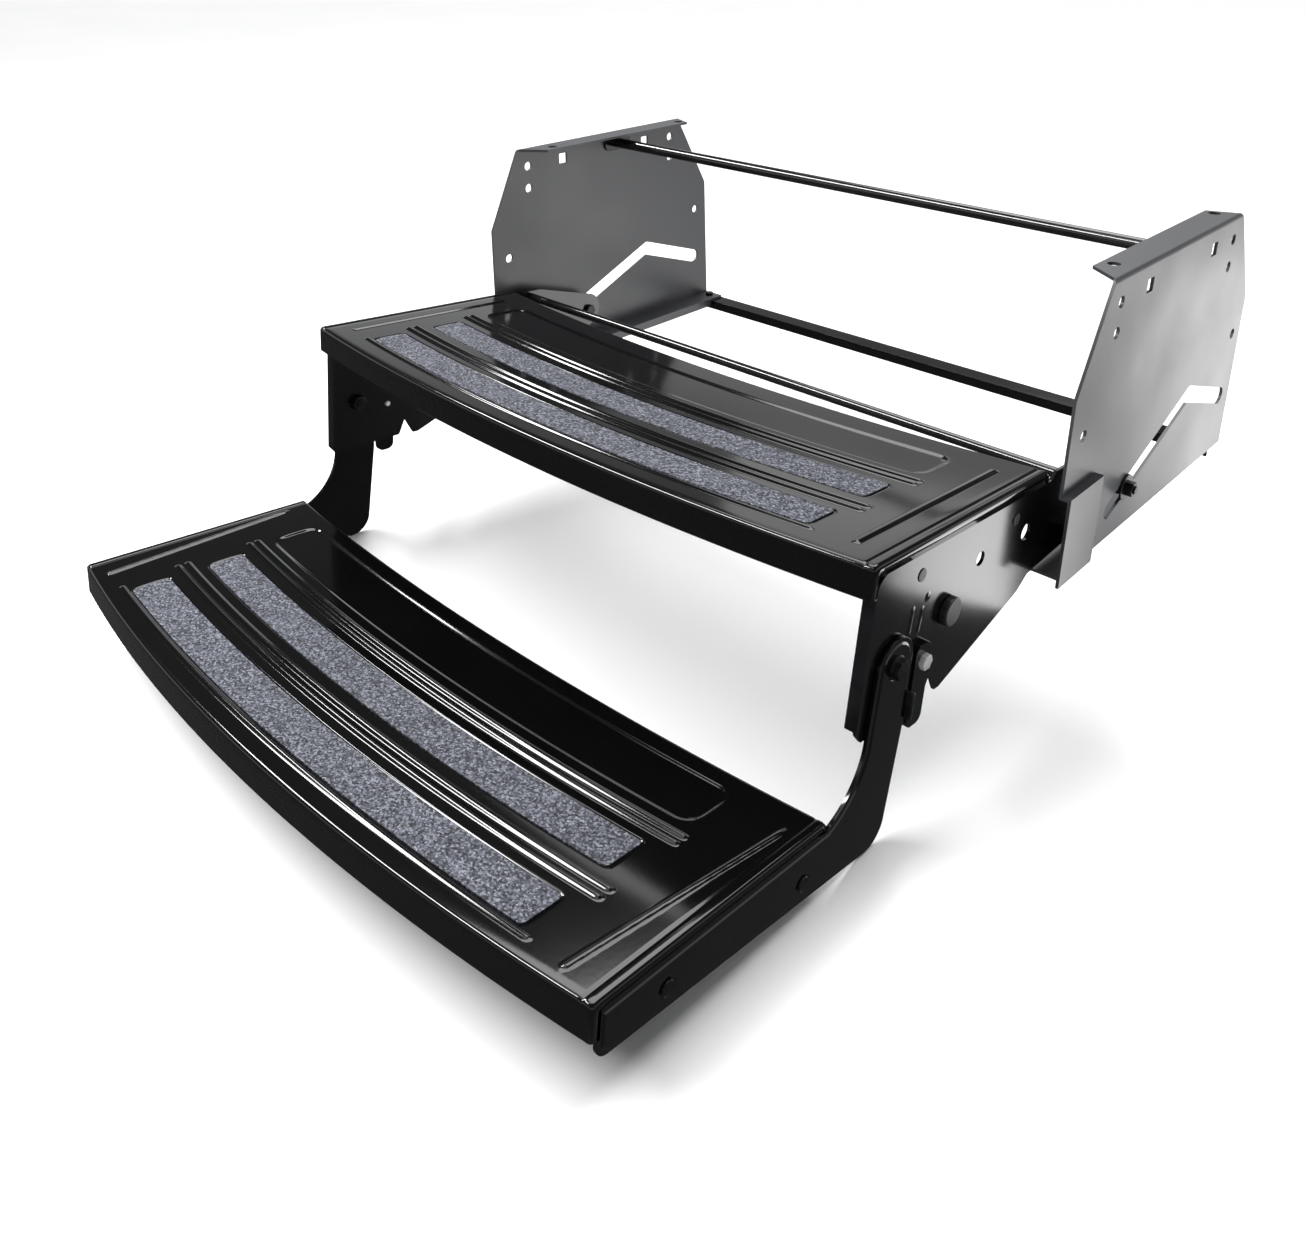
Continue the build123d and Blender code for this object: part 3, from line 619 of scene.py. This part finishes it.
def layGrit(tread, pocket, nodeName, name):
    rng = Random(grit["seed"] + int(pocket[0]))
    low, high = pocket[0] + grit["inset"], pocket[1] - grit["inset"]
    columns = spread(-grit["half"], grit["half"], [], grit["column"], grit["column"])
    rows = spread(low, high, [], grit["row"], grit["row"])
    bm = bmesh.new()
    bmesh.ops.create_grid(bm, x_segments=len(columns) - 1, y_segments=len(rows) - 1, size=1.0)
    centre = (low + high) / 2
    floorW = tread["topW"] - pressing["pocketDepth"]
    for vert in sorted(bm.verts, key=lambda v: (round(v.co.x, 5), round(v.co.y, 5))):
        x = columns[round((vert.co.x + 1) / 2 * (len(columns) - 1))]
        k = rows[round((vert.co.y + 1) / 2 * (len(rows) - 1))]
        edgeX = abs(x) - grit["half"] + grit["corner"]
        edgeK = abs(k - centre) - (high - low) / 2 + grit["corner"]
        if edgeX > 0 and edgeK > 0:  # the square corner is drawn in to a quarter circle
            far = max(edgeX, edgeK) / hypot(edgeX, edgeK)
            x -= (1 - far) * edgeX * (1 if x > 0 else -1)
            k -= (1 - far) * edgeK * (1 if k > centre else -1)
        jitter = (rng.random() - 0.5) * 2 * grit["rough"]
        vert.co = (x, treadPoint(tread, x, k), tread["topW"] + grit["lift"] + jitter)
    rim = [edge for edge in bm.edges if edge.is_boundary]
    made = bmesh.ops.extrude_edge_only(bm, edges=rim)
    for item in made["geom"]:
        if isinstance(item, bmesh.types.BMVert):
            item.co.z = floorW + 0.02
    bmesh.ops.holes_fill(bm, edges=[edge for edge in bm.edges if edge.is_boundary], sides=0)
    bmesh.ops.recalc_face_normals(bm, faces=bm.faces)
    for vert in bm.verts:
        vert.co = toWorld(*vert.co)
    addPiece(meshFrom(bm, name, 60), name, tread["body"], gritBlueGrey, [nodeName])


layGrit(upperTread, upperTread["pockets"][0], "upper_grit_front", "upperGritFront")
layGrit(upperTread, upperTread["pockets"][1], "upper_grit_rear", "upperGritRear")
layGrit(lowerTread, lowerTread["pockets"][0], "lower_grit_front", "lowerGritFront")
layGrit(lowerTread, lowerTread["pockets"][1], "lower_grit_rear", "lowerGritRear")
print("grit laid")


# stamps in the arms: two short upright beads and a small round one, 0.6 mm high
armStamps = dict(u=(54.0, 96.0), w=(-88.0, -44.0), step=0.9, high=0.6, lift=0.04,
                 beads=[((64, -58), (62, -80), 3.4), ((78, -62), (76, -80), 3.0), ((84, -53), (84, -53), 4.4)])


def stampPatch(side):
    us = spread(*armStamps["u"], [], 1, armStamps["step"])
    ws = spread(*armStamps["w"], [], 1, armStamps["step"])
    faceX = armHigh.x / mm
    bm = bmesh.new()
    bmesh.ops.create_grid(bm, x_segments=len(us) - 1, y_segments=len(ws) - 1, size=1.0)
    for vert in bm.verts:
        u = us[round((vert.co.x + 1) / 2 * (len(us) - 1))]
        w = ws[round((vert.co.y + 1) / 2 * (len(ws) - 1))]
        rise = 0.0
        for (u0, w0), (u1, w1), halfWidth in armStamps["beads"]:
            length = hypot(u1 - u0, w1 - w0)
            t = ((u - u0) * (u1 - u0) + (w - w0) * (w1 - w0)) / length ** 2 if length else 0.0
            t = min(1.0, max(0.0, t))
            beside = hypot(u - u0 - (u1 - u0) * t, w - w0 - (w1 - w0) * t)
            rise = max(rise, bead(beside, halfWidth, armStamps["high"]))
        vert.co = toWorld(side * (faceX + armStamps["lift"] + rise), u, w)
    keep = armHigh.x + (armStamps["lift"] + 0.01) * mm
    flat = [face for face in bm.faces if all(abs(vert.co.x) < keep for vert in face.verts)]
    bmesh.ops.delete(bm, geom=flat, context="FACES")
    if side < 0:
        bmesh.ops.reverse_faces(bm, faces=bm.faces)
    name = "rightArmStamps" if side > 0 else "leftArmStamps"
    addPiece(meshFrom(bm, name, 60), name, "upper_step", armEnamel, [])


stampPatch(1)
stampPatch(-1)
print("arms stamped")


# floor: pale matt studio sweep
floorPaint = plainFinish("paleStudioFloor", ("#f8f8f8", "#fafafa"), (0.7, 0.8), 400, 5.0, 0.02)
bm = bmesh.new()
bmesh.ops.create_grid(bm, x_segments=8, y_segments=8, size=30.0)
bmesh.ops.translate(bm, verts=bm.verts, vec=(0, 0, cadLow.z - 0.0005))
floorMesh = bpy.data.meshes.new("studioFloor")
bm.to_mesh(floorMesh)
bm.free()
floorMesh.materials.append(floorPaint)
floor = bpy.data.objects.new("studioFloor", floorMesh)
scene.collection.objects.link(floor)
floor.visible_glossy = False  # the gloss paint mirrors the dark studio below the sweep, not the sweep itself
floor.visible_shadow = False  # low panels shine through the sweep
print("floor laid")
